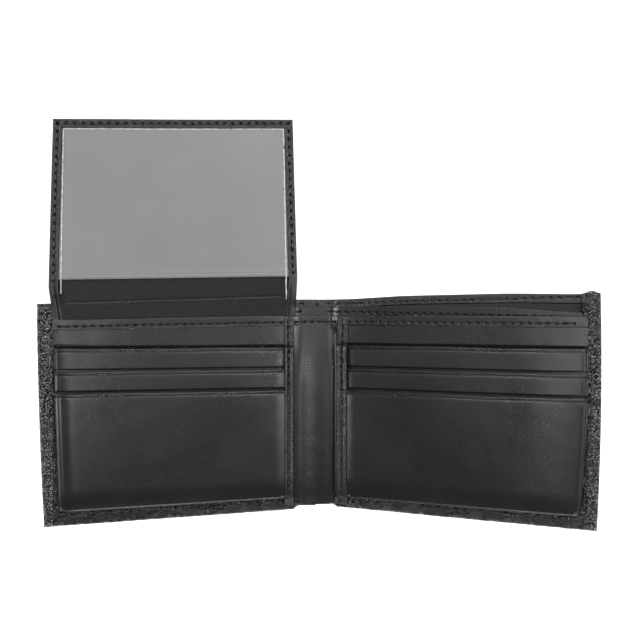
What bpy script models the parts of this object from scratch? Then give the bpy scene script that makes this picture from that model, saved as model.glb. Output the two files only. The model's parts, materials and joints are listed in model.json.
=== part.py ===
"""Bifold leather wallet with a flip-up ID flap, lying open on its back.

Metres, +Z up. +X runs along the open width, +Y runs from the bottom edge
towards the flap. The spine's exterior lies on Z = 0. Each half turns about its
own line beside the spine, and the flap turns about a line just above the front
wall of the left half. Thicknesses are stacked from the exterior leather
inwards: T is the height of a layer above the exterior face of its half.
"""

import math

import bmesh
import bpy
from mathutils import Matrix, Vector

MM = 0.001

# --- overall sizes, mm ----------------------------------------------------
HINGE_X = 5.0          # each half turns this far from the middle of the spine
HINGE_T = 4.3          # and this high above the exterior face
LEFT_TILT = 10.0       # degrees each half springs up when the wallet lies open
RIGHT_TILT = 20.0
CENTRE_Y = 80.892      # the middle of the bounding box, seen from above, measured from
CENTRE_X = -1.1975     # the bottom of the spine: the origin is put there
SLIT = 0.15            # half of the cut between a half and the spine

# --- layers, mm above the exterior face -----------------------------------
COVER = (0.0, 1.0)
COVER_HEM = 1.7
COVER_LINING = (1.2, 1.5)
DIVIDER = (1.9, 2.4)
ANCHOR = (2.7, 3.2)
FRONT_WALL = (3.4, 4.0)
SLOT_1 = (4.2, 4.7)
SLOT_2 = (4.9, 5.4)
POCKET = (5.6, 6.2)
LIP = (2.7, 3.2)       # the cover's turned edge, under the edges of the panels
BINDING_T = (6.4, 6.9)
THREAD = (0.1, 0.25)  # stitching, above the leather that it lies on
THREAD_WIDTH = 0.45

# --- widths, mm -------------------------------------------------------------
WALL = 1.0             # thickness of the turned edge seen from above
LIP_WIDTH = 7.2        # turned leather along the outer side and the bottom
HEM_WIDTH = 3.6        # turned leather along the top of the cover
INSET = 1.25           # inner layers stop this far inside the cover's outline
STITCH_IN = 1.9        # stitching, from the edge of the piece that it holds
FOOT_START = 4.3       # the turned bottom edge stops here, short of the fold
SPINE_FOOT = 1.3       # the cover's bottom edge across the spine

# --- the two halves, mm: s runs outwards from the hinge line ---------------
HALVES = {
    "left": dict(
        sign=-1,
        top=((SLIT, 88.5), (107.1, 86.6)),
        bottom=((SLIT, 0.4), (104.8, -2.0)),
        outer_mid=(106.5, 45.0),
        divider_top=(85.3, 83.2),
        wall_top=(81.8, 80.0),
        slots=(68.9, 59.7, 50.9),
        panel_outer=((98.9, 3.0), (100.4, 50.0), (101.2, 80.0)),
        panel_bottom=(5.0, 3.0),
        binding=(4.3, 8.2),
    ),
    "right": dict(
        sign=1,
        top=((SLIT, 88.5), (107.9, 90.1)),
        bottom=((SLIT, 0.9), (107.4, 1.4)),
        outer_mid=(108.9, 60.0),
        divider_top=(85.3, 83.0),
        wall_top=(81.8, 81.6),
        slots=(69.9, 60.4, 51.3),
        panel_outer=((100.8, 6.0), (103.6, 52.0), (103.3, 81.6)),
        panel_bottom=(5.7, 6.0),
        binding=(4.4, 9.2),
    ),
}

# --- flap, mm, in the left half's own frame --------------------------------
FLAP_AXIS_Y = 83.0
FLAP_AXIS_T = 6.3
FLAP_FREE = ((5.3, 163.8), (100.6, 159.9))       # free edge, spine side first
FLAP_WIDE = ((3.5, 97.0), (102.6, 93.0))         # where the frame ends
FLAP_ROOT = ((3.9, 82.5), (101.3, 82.5))         # start of the hinge strip
FLAP_BACK = (2.8, 3.4)
FLAP_LINING = (3.6, 3.8)
WINDOW = (4.0, 4.25)
EDGING = (4.4, 4.65)
FLAP_LIP = (4.5, 5.0)
FLAP_WALL = 0.8
FLAP_LIP_WIDTH = 3.8
WINDOW_FOOT = ((8.6, 98.0), (98.2, 96.0))


def clear_scene():
    for obj in list(bpy.data.objects):
        bpy.data.objects.remove(obj, do_unlink=True)


def material(name, rgb, roughness, metallic=0.0):
    found = bpy.data.materials.get(name)
    if found:
        return found
    made = bpy.data.materials.new(name)
    made.use_nodes = True
    shader = made.node_tree.nodes["Principled BSDF"]
    shader.inputs["Base Color"].default_value = (*rgb, 1.0)
    shader.inputs["Roughness"].default_value = roughness
    shader.inputs["Metallic"].default_value = metallic
    return made


def empty(name, location, parent=None, turn_y=0.0):
    made = bpy.data.objects.new(name, None)
    bpy.context.scene.collection.objects.link(made)
    made.empty_display_size = 0.01
    made.parent = parent
    made.location = location
    made.rotation_euler = (0.0, math.radians(turn_y), 0.0)
    return made


def prism(points, low, high, axis_t, sign):
    """A closed prism over the outline (s, y), between two layer heights."""
    mesh = bmesh.new()
    flat = [
        mesh.verts.new((sign * s * MM, y * MM, (low - axis_t) * MM)) for s, y in points
    ]
    face = mesh.faces.new(flat)
    raised = bmesh.ops.extrude_face_region(mesh, geom=[face])
    moved = [item for item in raised["geom"] if isinstance(item, bmesh.types.BMVert)]
    bmesh.ops.translate(mesh, verts=moved, vec=Vector((0, 0, (high - low) * MM)))
    bmesh.ops.recalc_face_normals(mesh, faces=mesh.faces)
    return mesh


def solid(name, meshes, frame, mat):
    """One object holding the given meshes, in the half's own frame."""
    data = bpy.data.meshes.new(name)
    whole = bmesh.new()
    for one in meshes:
        loose = bpy.data.meshes.new("loose")
        one.to_mesh(loose)
        one.free()
        whole.from_mesh(loose)
        bpy.data.meshes.remove(loose)
    bmesh.ops.translate(whole, verts=whole.verts, vec=Vector((0, frame[3] * MM, 0)))
    bmesh.ops.recalc_face_normals(whole, faces=whole.faces)
    whole.to_mesh(data)
    whole.free()
    made = bpy.data.objects.new(name, data)
    bpy.context.scene.collection.objects.link(made)
    made.parent = frame[0]
    data.materials.append(mat)
    return made


def add(name, pieces, frame, mat):
    """One object of separate prisms, each (outline, low, high)."""
    return solid(name, [prism(*piece, frame[1], frame[2]) for piece in pieces], frame, mat)


def mitre(before, point, after, width):
    """The point moved inwards from both of its sides by width. Outlines run anticlockwise."""
    p = Vector(point)
    normals = []
    if before is not None:
        d = (p - Vector(before)).normalized()
        normals.append(Vector((-d.y, d.x)))
    if after is not None:
        d = (Vector(after) - p).normalized()
        normals.append(Vector((-d.y, d.x)))
    if len(normals) == 1:
        return tuple(p + normals[0] * width)
    middle = (normals[0] + normals[1]).normalized()
    return tuple(p + middle * width / max(middle.dot(normals[0]), 0.3))


def tray(outline, floor, turned, lip, wall, lip_width, ends, hem, axis_t, sign):
    """A sheet with its edge turned up and over between two points of its outline.

    floor is (low, high). turned is (first, last), indices into outline, or None.
    lip is (low, high) of the turned-over edge. ends gives the direction of the
    cut at each end. hem is (first, second, inner first, inner second, height),
    where the first two follow each other on the outline.
    """
    mesh = bmesh.new()
    made = {}

    def vert(point, t):
        key = (round(point[0], 5), round(point[1], 5), round(t, 5))
        if key not in made:
            made[key] = mesh.verts.new(
                (sign * point[0] * MM, point[1] * MM, (t - axis_t) * MM)
            )
        return made[key]

    def face(points):
        mesh.faces.new([vert(point, t) for point, t in points])

    low, high = floor
    count = len(outline)
    face([(point, low) for point in outline])
    whole = turned == (0, count - 1)
    for i in range(count - 1 if whole else count):
        point, after = outline[i], outline[(i + 1) % count]
        face([(point, low), (after, low), (after, high), (point, high)])

    inside = list(outline)
    if turned:
        first, last = turned
        path = outline[first : last + 1]
        walls, lips = [], []
        for i, point in enumerate(path):
            if i in (0, len(path) - 1):
                way = Vector(ends[0 if i == 0 else 1]).normalized()
                walls.append(tuple(Vector(point) + way * wall))
                lips.append(tuple(Vector(point) + way * lip_width))
            else:
                walls.append(mitre(path[i - 1], point, path[i + 1], wall))
                lips.append(mitre(path[i - 1], point, path[i + 1], lip_width))
        for i in range(len(path) - 1):
            p, q = path[i], path[i + 1]
            v, w = walls[i], walls[i + 1]
            k, m = lips[i], lips[i + 1]
            face([(p, high), (q, high), (q, lip[1]), (p, lip[1])])
            face([(p, lip[1]), (q, lip[1]), (m, lip[1]), (k, lip[1])])
            face([(k, lip[1]), (m, lip[1]), (m, lip[0]), (k, lip[0])])
            face([(k, lip[0]), (m, lip[0]), (w, lip[0]), (v, lip[0])])
            face([(v, lip[0]), (w, lip[0]), (w, high), (v, high)])
        for i in (0, len(path) - 1):
            p, v, k = path[i], walls[i], lips[i]
            face([(p, high), (p, lip[1]), (k, lip[1]), (k, lip[0]), (v, lip[0]), (v, high)])
        inside = outline[: first + 1] + walls + outline[last:]
        if whole:
            # only the foot is left flat, between the two ends of the turned edge
            inside = walls
            a, b = outline[-1], outline[0]
            face([(a, low), (b, low), (b, high), (walls[0], high), (walls[-1], high), (a, high)])
    if hem:
        a, b, c, d, height = hem
        face([(a, height), (b, height), (d, height), (c, height)])
        for p, q in ((a, b), (b, d), (d, c), (c, a)):
            face([(p, high), (q, high), (q, height), (p, height)])
        at = inside.index(a)
        inside = inside[: at + 1] + [c] + inside[at + 2 :]
    face([(point, high) for point in inside])
    bmesh.ops.recalc_face_normals(mesh, faces=mesh.faces)
    return mesh


def lerp(a, b, f):
    return a + (b - a) * f


def along(line, s):
    """The y of a straight line ((s0, y0), (s1, y1)) at s."""
    (s0, y0), (s1, y1) = line
    return lerp(y0, y1, (s - s0) / (s1 - s0))


class Half:
    """The outline of one half, in (s, y)."""

    def __init__(self, sizes):
        self.__dict__.update(sizes)
        self.corners = [self.bottom[1], self.outer_mid, self.top[1]]

    def top_y(self, s):
        return along(self.top, s)

    def bottom_y(self, s):
        return along(self.bottom, s)

    def outer(self, y):
        low, mid, high = self.corners
        a, b = (low, mid) if y < mid[1] else (mid, high)
        return lerp(a[0], b[0], (y - a[1]) / (b[1] - a[1]))

    def sheet(self, start, low, high, inset):
        """Outline from s = start to the outer side; low(s) and high(s) are its edges."""
        y0, y1 = low(105), high(105)
        mid = self.outer_mid[1]
        end0, end1, end = (self.outer(y) - inset for y in (y0, y1, mid))
        points = [(start, low(start)), (end0, low(end0))]
        if y0 + 8 < mid < y1 - 8:
            points.append((end, mid))
        points += [(end1, high(end1)), (start, high(start))]
        return points

    def panel_s(self, y):
        low, mid, high = self.panel_outer
        a, b = (low, mid) if y < mid[1] else (mid, high)
        return lerp(a[0], b[0], (y - a[1]) / (b[1] - a[1]))

    def panel(self, start, low, high):
        """Outline of a panel that lies over the turned edge; low None is its foot."""
        (_, foot_y), mid, _ = self.panel_outer
        if low is None:
            points = [(start, lerp(*self.panel_bottom, start / 100)), (self.panel_s(foot_y), foot_y)]
        else:
            points = [(start, low), (self.panel_s(low), low)]
        top_outer = high(self.panel_s(60)) if callable(high) else high
        top_inner = high(start) if callable(high) else high
        if points[1][1] + 2 < mid[1] < top_outer - 2:
            points.append(mid)
        points += [(self.panel_s(top_outer), top_outer), (start, top_inner)]
        return points


def rounded(before, corner, after, radius, steps=3):
    """Points round a corner, tangent to both sides."""
    c, a, b = Vector(corner), Vector(before), Vector(after)
    start = c + (a - c).normalized() * radius
    end = c + (b - c).normalized() * radius
    made = []
    for i in range(steps + 1):
        f = i / steps
        made.append(tuple((1 - f) ** 2 * start + 2 * f * (1 - f) * c + f * f * end))
    return made


def band(path, width):
    """The outline of a thin strip whose centre follows the points of path."""
    sides = [[], []]
    for i, point in enumerate(path):
        before = path[i - 1] if i else None
        after = path[i + 1] if i + 1 < len(path) else None
        for side, way in zip(sides, (-1, 1)):
            side.append(mitre(before, point, after, way * width / 2))
    return sides[0] + sides[1][::-1]


def build_half(name, half, frame, mats):
    leather, grain, fabric, thread = mats
    top_y, bottom_y = half.top_y, half.bottom_y
    lip_in = LIP_WIDTH

    # Cover: exterior leather, turned over along the outer side and the bottom,
    # and hemmed along the top.
    foot_start = FOOT_START
    side_end = half.wall_top[1] + 2.0
    hem_out = half.top[1][0] - 2.5
    outline = [half.bottom[0], (foot_start, bottom_y(foot_start))]
    outline += rounded(outline[-1], half.bottom[1], half.outer_mid, 2.0)
    outline += [half.outer_mid, (half.outer(side_end), side_end)]
    last = len(outline) - 1
    outline += rounded(half.outer_mid, half.top[1], half.top[0], 1.5)
    outline += [(hem_out, top_y(hem_out)), half.top[0], (SLIT, half.top[0][1] - HEM_WIDTH)]
    hem = (outline[-3], outline[-2], (hem_out, top_y(hem_out) - HEM_WIDTH), outline[-1], COVER_HEM)
    cover = tray(
        outline, COVER, (1, last), LIP, WALL, LIP_WIDTH, ((0, 1), (-1, 0)), hem, frame[1], frame[2]
    )
    solid(f"cover_{name}", [cover], frame, grain)

    # Inner sheets, from the exterior inwards.
    low = lambda s: bottom_y(s) + INSET
    add(
        f"cover_lining_{name}",
        [(half.sheet(SLIT, low, lambda s: top_y(s) - HEM_WIDTH - 0.3, INSET), *COVER_LINING)],
        frame,
        fabric,
    )
    div = ((SLIT, half.divider_top[0]), (105.0, half.divider_top[1]))
    add(
        f"divider_{name}",
        [(half.sheet(SLIT, low, lambda s: along(div, s), INSET + 0.4), *DIVIDER)],
        frame,
        leather,
    )
    wall = ((SLIT, half.wall_top[0]), (105.0, half.wall_top[1]))
    add(
        f"front_wall_{name}",
        [(half.panel(SLIT, None, lambda s: along(wall, s)), *FRONT_WALL)],
        frame,
        leather,
    )

    # Card slots: two leather facings with a lining each, and a deep pocket.
    first, second, third = half.slots
    b0, b1 = half.binding
    start = b0 + 0.2
    for index, (slot, layer) in enumerate(((first, SLOT_1), (second, SLOT_2)), 1):
        base = slot - 14.0
        add(
            f"{name}_card_slot_{index}",
            [(half.panel(start, base, slot), *layer)],
            frame,
            leather,
        )
        add(
            f"{name}_slot_lining_{index}",
            [(half.panel(start + 0.6, base - 34.0, base - 0.3), layer[0] + 0.1, layer[1] - 0.1)],
            frame,
            fabric,
        )
    add(
        f"{name}_card_pocket",
        [(half.panel(start, None, third), *POCKET)],
        frame,
        leather,
    )
    foot = half.panel_bottom[0] + 0.1
    binding_top = half.wall_top[0] - 0.4
    add(
        f"{name}_inner_binding",
        [([(b0, foot), (b1, foot), (b1, binding_top), (b0, binding_top)], *BINDING_T)],
        frame,
        leather,
    )

    # Stitching: one thread along each seam.
    def run(title, surface, path):
        outline = band(path, THREAD_WIDTH)
        add(f"{name}_{title}_stitching", [(outline, surface + THREAD[0], surface + THREAD[1])], frame, thread)

    y1 = along(wall, 100.2) - 2.9
    run("front_wall", FRONT_WALL[1], [(b1 + 1.0, along(wall, b1) - 2.9), (100.2, y1)])
    run("divider", DIVIDER[1], [(SLIT + 0.5, half.divider_top[0] - 1.9), (102.0, along(div, 102) - 1.9)])
    run("cover_hem", COVER_HEM, [(SLIT + 0.5, top_y(0) - STITCH_IN), (103.0, top_y(103) - STITCH_IN)])
    middle = (b0 + b1) / 2 + 0.3
    run("inner", BINDING_T[1], [(middle, foot + 1.0), (middle, binding_top - 0.8)])
    # the seam beside the panel's edge, which holds it to the turned leather
    beside = 1.0
    (s0, y0), (s1, y1), (s2, y2) = half.panel_outer
    run(
        "outer",
        LIP[1],
        [
            (FOOT_START + 1.0, half.panel_bottom[0] - beside),
            (s0 + beside, y0 - beside),
            (s1 + beside, y1),
            (s2 + beside, y2 - 0.5),
        ],
    )


def build_spine(frame, mats):
    leather, grain, fabric, thread = mats
    x = HINGE_X - SLIT
    y1 = HALVES["left"]["top"][0][1]

    def strip(low, high):
        return [(-x, low), (x, low), (x, high), (-x, high)]

    # the hem runs the whole width of the spine
    mesh = bmesh.new()
    profile = [
        (SPINE_FOOT, COVER[0]),
        (y1, COVER[0]),
        (y1, COVER_HEM),
        (y1 - HEM_WIDTH, COVER_HEM),
        (y1 - HEM_WIDTH, COVER[1]),
        (SPINE_FOOT, COVER[1]),
    ]
    ends = [[mesh.verts.new((side * x * MM, y * MM, t * MM)) for y, t in profile] for side in (-1, 1)]
    for ring in ends:
        mesh.faces.new(ring)
    for i in range(len(profile)):
        j = (i + 1) % len(profile)
        mesh.faces.new([ends[0][i], ends[0][j], ends[1][j], ends[1][i]])
    solid("cover_spine", [mesh], frame, grain)
    add("cover_lining_spine", [(strip(SPINE_FOOT + 0.5, y1 - HEM_WIDTH - 0.3), *COVER_LINING)], frame, fabric)
    add("divider_spine", [(strip(SPINE_FOOT + 0.5, HALVES["left"]["divider_top"][0]), *DIVIDER)], frame, leather)
    add("front_wall_spine", [(strip(SPINE_FOOT + 0.6, HALVES["left"]["wall_top"][0]), *FRONT_WALL)], frame, leather)


def build_flap(frame, mats, vinyl, edge):
    leather, grain, fabric, thread = mats
    (a0, a1), (b0, b1) = FLAP_WIDE, FLAP_FREE

    def spine_s(y):
        return lerp(a0[0], b0[0], (y - a0[1]) / (b0[1] - a0[1]))

    def outer_s(y):
        return lerp(a1[0], b1[0], (y - a1[1]) / (b1[1] - a1[1]))

    def inner(inset, foot):
        """The flap's outline, moved in by inset on three sides."""
        y_in = b0[1] - inset
        y_out = b1[1] - inset
        return [
            (spine_s(foot[0]) + inset, foot[0]),
            (outer_s(foot[1]) - inset, foot[1]),
            (outer_s(y_out) - inset, y_out),
            (spine_s(y_in) + inset, y_in),
        ]

    ring_outline = [a1, *rounded(a1, b1, b0, 1.5), *rounded(b1, b0, a0, 1.5), a0]
    foot_way = (Vector(a0) - Vector(a1)).normalized()
    flap = tray(
        ring_outline,
        FLAP_BACK,
        (0, len(ring_outline) - 1),
        FLAP_LIP,
        FLAP_WALL,
        FLAP_LIP_WIDTH,
        (tuple(foot_way), tuple(-foot_way)),
        None,
        frame[1],
        frame[2],
    )
    solid("flap_leather", [flap], frame, grain)
    foot_in = (a0[1] + 0.02, a1[1] + 0.02)

    r0, r1 = FLAP_ROOT
    add(
        "flap_hinge_strip",
        [([r0, r1, (a1[0] - 1.2, a1[1] - 0.3), (a0[0] + 0.3, a0[1] - 0.3)], *FLAP_BACK)],
        frame,
        leather,
    )
    lining = [
        r0,
        r1,
        (a1[0] - 1.2, a1[1] - 0.3),
        (outer_s(a1[1] + 0.3) - 1.3, a1[1] + 0.3),
        *inner(1.3, foot_in)[2:],
        (spine_s(a0[1] + 0.3) + 1.3, a0[1] + 0.3),
        (a0[0] + 0.3, a0[1] - 0.3),
    ]
    add("flap_lining", [(lining, *FLAP_LINING)], frame, fabric)
    add("flap_window", [(inner(1.2, (WINDOW_FOOT[0][1], WINDOW_FOOT[1][1])), *WINDOW)], frame, vinyl)
    ring_out = inner(FLAP_LIP_WIDTH + 0.25, (WINDOW_FOOT[0][1] + 0.5, WINDOW_FOOT[1][1] + 0.5))
    ring_in = inner(FLAP_LIP_WIDTH + 0.75, (WINDOW_FOOT[0][1] + 0.5, WINDOW_FOOT[1][1] + 0.5))
    ring = [ring_out[1], ring_out[2], ring_out[3], ring_out[0], ring_in[0], ring_in[3], ring_in[2], ring_in[1]]
    add("flap_window_edging", [(ring, *EDGING)], frame, edge)

    surface = FLAP_LIP[1]
    path = inner(STITCH_IN, (a0[1] + 1.5, a1[1] + 1.5))
    outline = band([path[1], path[2], path[3], path[0]], THREAD_WIDTH)
    add("flap_stitching", [(outline, surface + THREAD[0], surface + THREAD[1])], frame, thread)


def build():
    clear_scene()
    leather = material("smooth_leather", (0.035, 0.035, 0.036), 0.42)
    grain = material("grained_leather", (0.03, 0.03, 0.031), 0.32)
    fabric = material("twill_lining", (0.022, 0.022, 0.023), 0.85)
    thread = material("black_thread", (0.05, 0.05, 0.05), 0.6)
    vinyl = material("window_vinyl", (0.29, 0.29, 0.29), 0.25)
    edge = material("raw_edge", (0.62, 0.62, 0.6), 0.7)
    mats = (leather, grain, fabric, thread)

    base = empty("wallet_origin", (-CENTRE_X * MM, -CENTRE_Y * MM, 0.0))
    left = empty("left_hinge_axis", (-HINGE_X * MM, 0.0, HINGE_T * MM), base, LEFT_TILT)
    right = empty("right_hinge_axis", (HINGE_X * MM, 0.0, HINGE_T * MM), base, -RIGHT_TILT)
    flap = empty("flap_hinge_axis", (-50.0 * MM, FLAP_AXIS_Y * MM, (FLAP_AXIS_T - HINGE_T) * MM), left)

    build_spine((base, 0.0, 1, 0.0), mats)
    build_half("left", Half(HALVES["left"]), (left, HINGE_T, -1, 0.0), mats)
    build_half("right", Half(HALVES["right"]), (right, HINGE_T, 1, 0.0), mats)
    # the flap's own origin is on its axis
    tab_frame = (left, HINGE_T, -1, 0.0)
    add(
        "flap_anchor_tab",
        [([(5.0, 70.0), (98.5, 70.0), (98.5, 79.6), (5.0, 81.2)], *ANCHOR)],
        tab_frame,
        fabric,
    )
    before = set(bpy.data.objects)
    build_flap((flap, FLAP_AXIS_T, -1, -FLAP_AXIS_Y), mats, vinyl, edge)
    for made in set(bpy.data.objects) - before:
        made.data.transform(Matrix.Translation((50.0 * MM, 0.0, 0.0)))


build()
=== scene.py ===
"""Looks of the bifold wallet: every leather, fabric, vinyl and thread piece is
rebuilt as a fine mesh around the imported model."""

import json
import math

import bpy
import numpy as np
from mathutils import Matrix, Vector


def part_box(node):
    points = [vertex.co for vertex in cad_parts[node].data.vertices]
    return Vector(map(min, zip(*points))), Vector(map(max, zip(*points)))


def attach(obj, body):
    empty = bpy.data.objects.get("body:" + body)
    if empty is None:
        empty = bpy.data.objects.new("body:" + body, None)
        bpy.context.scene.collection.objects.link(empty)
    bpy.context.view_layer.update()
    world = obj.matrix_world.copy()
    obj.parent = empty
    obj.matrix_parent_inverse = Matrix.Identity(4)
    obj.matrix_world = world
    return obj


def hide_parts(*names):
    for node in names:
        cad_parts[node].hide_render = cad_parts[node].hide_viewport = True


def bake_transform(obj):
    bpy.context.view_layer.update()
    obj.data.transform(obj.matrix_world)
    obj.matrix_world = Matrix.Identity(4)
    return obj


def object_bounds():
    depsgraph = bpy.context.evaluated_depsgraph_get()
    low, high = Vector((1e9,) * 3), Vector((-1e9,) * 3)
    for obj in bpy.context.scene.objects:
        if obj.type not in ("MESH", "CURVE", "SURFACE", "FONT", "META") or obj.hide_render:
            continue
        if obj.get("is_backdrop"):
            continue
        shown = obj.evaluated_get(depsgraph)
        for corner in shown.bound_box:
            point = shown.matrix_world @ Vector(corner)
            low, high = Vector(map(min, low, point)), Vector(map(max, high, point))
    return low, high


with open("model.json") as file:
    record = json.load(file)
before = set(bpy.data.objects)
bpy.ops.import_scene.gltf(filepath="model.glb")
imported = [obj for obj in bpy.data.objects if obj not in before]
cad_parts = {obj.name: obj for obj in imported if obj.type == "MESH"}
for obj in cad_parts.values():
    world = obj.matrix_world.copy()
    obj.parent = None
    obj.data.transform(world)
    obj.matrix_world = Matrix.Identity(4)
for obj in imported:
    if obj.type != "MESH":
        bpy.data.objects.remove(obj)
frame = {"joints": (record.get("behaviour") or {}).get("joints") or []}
CAD_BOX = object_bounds()

# ---------------------------------------------------------------------------
# frame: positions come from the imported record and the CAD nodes
# ---------------------------------------------------------------------------
JOINTS = {j["name"]: j for j in frame["joints"]}
HL = np.array(JOINTS["left_fold"]["pos_m"]) * 1000.0
HR = np.array(JOINTS["right_fold"]["pos_m"]) * 1000.0
FLAP_POS = np.array(JOINTS["flap_fold"]["pos_m"]) * 1000.0
FLAP_AX = np.array(JOINTS["flap_fold"]["axis"])
CX = (HL[0] + HR[0]) / 2.0
HX = (HR[0] - HL[0]) / 2.0
HT = HL[2]
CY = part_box("cover_spine")[1].y * 1000.0 - 88.5
TILT = {"left": math.atan2(-FLAP_AX[2], FLAP_AX[0]), "right": math.radians(20.0)}
SIGN = {"left": -1.0, "right": 1.0}
FOLD = 4.5  # mm over which the sheets turn from the spine into a half

HALF = {
    "left": dict(
        top=(88.5, 86.6), bottom=(-0.7, -3.3), outer=((105.1, -3.3), (106.9, 45.0), (107.5, 86.6)),
        divider=(85.3, 83.2), wall=(81.8, 80.0), slots=(68.4, 59.3, 50.6),
        panel=((98.9, 3.0), (100.4, 50.0), (101.2, 80.0)), foot=(5.0, 3.0), binding=(4.3, 8.2),
    ),
    "right": dict(
        top=(88.5, 90.1), bottom=(0.5, 0.5), outer=((106.9, 0.5), (108.3, 60.0), (107.9, 90.1)),
        divider=(85.3, 83.0), wall=(81.8, 81.6), slots=(69.3, 59.8, 50.7),
        panel=((100.8, 6.0), (103.6, 52.0), (103.3, 81.6)), foot=(5.7, 6.0), binding=(4.4, 9.2),
    ),
}


def smooth(x):
    x = np.clip(x, 0.0, 1.0)
    return x * x * (3.0 - 2.0 * x)


def gauss(x, width):
    return np.exp(-(x / width) ** 2)


def curve3(points, y):
    """Smooth curve through three (s, y) points, as s at y."""
    (s0, y0), (s1, y1), (s2, y2) = points
    y = np.asarray(y, float)
    a = s0 * (y - y1) * (y - y2) / ((y0 - y1) * (y0 - y2))
    b = s1 * (y - y0) * (y - y2) / ((y1 - y0) * (y1 - y2))
    c = s2 * (y - y0) * (y - y1) / ((y2 - y0) * (y2 - y1))
    return a + b + c


def ramp(pair, s, reach=104.0):
    return pair[0] + (pair[1] - pair[0]) * np.clip(np.asarray(s, float), 0.0, 120.0) / reach


def wobble(x, seed, period):
    """Smooth repeatable waviness of one variable, about -1 to 1."""
    x = np.asarray(x, float) / period
    return (
        np.sin(2 * np.pi * (x + seed * 0.37))
        + 0.6 * np.sin(2 * np.pi * (1.7 * x + seed * 0.91 + 0.2))
        + 0.4 * np.sin(2 * np.pi * (3.1 * x + seed * 0.53 + 0.7))
    ) / 2.0


def wobble2(x, y, seed, period):
    return 0.5 * (
        np.sin(2 * np.pi * (x / period + 0.31 * y / period + seed * 0.17))
        + np.sin(2 * np.pi * (-0.4 * x / period + 0.83 * y / period + seed * 0.61))
    )


def lumps(x, y, seed, cell):
    """Repeatable random bumps, about -1 to 1, cell mm apart."""
    x, y = np.broadcast_arrays(np.asarray(x, float) / cell + 500.0, np.asarray(y, float) / cell + 500.0)
    i, j = np.floor(x).astype(np.int64), np.floor(y).astype(np.int64)
    u, v = smooth(x - i), smooth(y - j)

    def value(a, b):
        h = np.sin(a * 12.9898 + b * 78.233 + seed * 37.719) * 43758.5453
        return 2.0 * (h - np.floor(h)) - 1.0

    return ((value(i, j) * (1 - u) + value(i + 1, j) * u) * (1 - v)
            + (value(i, j + 1) * (1 - u) + value(i + 1, j + 1) * u) * v)


def place(side, s, y, t):
    """World position, in metres, of a point of a half: s outwards from the fold,
    y up from the bottom edge, t above the exterior face, in mm."""
    s, y, t = np.broadcast_arrays(np.asarray(s, float), np.asarray(y, float), np.asarray(t, float))
    angle = TILT[side] * smooth(s / FOLD)
    up = t - HT
    along = s * np.cos(angle) - up * np.sin(angle)
    rise = s * np.sin(angle) + up * np.cos(angle)
    hinge = HL[0] if side == "left" else HR[0]
    return np.stack([hinge + SIGN[side] * along, CY + y, HT + rise], -1) / 1000.0


# ---------------------------------------------------------------------------
# mesh building
# ---------------------------------------------------------------------------
class Build:
    """Gathers grids of points into one mesh with a UV map of the flat cut, in mm."""

    def __init__(self):
        self.points, self.uvs, self.faces, self.count = [], [], [], 0

    def add(self, points, uv):
        base = self.count
        self.points.append(points.reshape(-1, 3))
        self.uvs.append(uv.reshape(-1, 2))
        self.count += self.points[-1].shape[0]
        return base + np.arange(self.points[-1].shape[0]).reshape(points.shape[:-1])

    def quads(self, index, flip=False, close=False):
        if close:
            index = np.concatenate([index, index[:, :1]], 1)
        a, b = index[:-1, :-1], index[1:, :-1]
        c, d = index[1:, 1:], index[:-1, 1:]
        q = np.stack([a, b, c, d] if not flip else [a, d, c, b], -1).reshape(-1, 4)
        self.faces.append(q)

    def finish(self, name, mat, smooth_angle=50.0):
        points = np.concatenate(self.points)
        uv = np.concatenate(self.uvs)
        quads = np.concatenate([f for f in self.faces if f.shape[1] == 4])
        mesh = bpy.data.meshes.new(name)
        mesh.vertices.add(len(points))
        mesh.vertices.foreach_set("co", points.astype(np.float32).ravel())
        loops = quads.ravel()
        mesh.loops.add(len(loops))
        mesh.loops.foreach_set("vertex_index", loops.astype(np.int32))
        mesh.polygons.add(len(quads))
        mesh.polygons.foreach_set("loop_start", np.arange(0, len(loops), 4, dtype=np.int32))
        mesh.polygons.foreach_set("loop_total", np.full(len(quads), 4, np.int32))
        mesh.update(calc_edges=True)
        mesh.validate()
        layer = mesh.uv_layers.new(name="cut")
        index = np.zeros(len(mesh.loops), np.int32)
        mesh.loops.foreach_get("vertex_index", index)
        layer.data.foreach_set("uv", uv[index].astype(np.float32).ravel())
        mesh.shade_smooth()
        mesh.set_sharp_from_angle(angle=math.radians(smooth_angle))
        mesh.materials.append(mat)
        made = bpy.data.objects.new(name, mesh)
        bpy.context.scene.collection.objects.link(made)
        return made


def lines(start, end, step, fine=(), edges=(True, True), edge=0.5):
    """Grid lines from start to end: step apart, closer at the edges and round
    each fine (position, half width, step)."""
    found = [start, end]
    found += list(np.linspace(start, end, max(2, int(round((end - start) / step)) + 1)))
    near = np.array([0.0, 0.04, 0.11, 0.21, 0.34, 0.5, 0.72, 1.0]) * edge * 2
    if edges[0]:
        found += list(start + near)
    if edges[1]:
        found += list(end - near)
    for at, half, gap in fine:
        found += list(np.arange(at - half, at + half + 1e-6, gap))
    found = np.unique(np.round([x for x in found if start - 1e-9 <= x <= end + 1e-9], 4))
    keep = [found[0]]
    for x in found[1:]:
        if x - keep[-1] >= 0.018:
            keep.append(x)
    keep[-1] = end
    return np.array(keep)


def roll(distance, radius):
    """0.12 at the very edge to 1 at radius inwards, as a rounded edge."""
    x = np.clip(distance / radius, 0.0, 1.0)
    return 0.12 + 0.88 * np.sqrt(np.maximum(0.0, 1.0 - (1.0 - x) ** 2))


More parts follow.
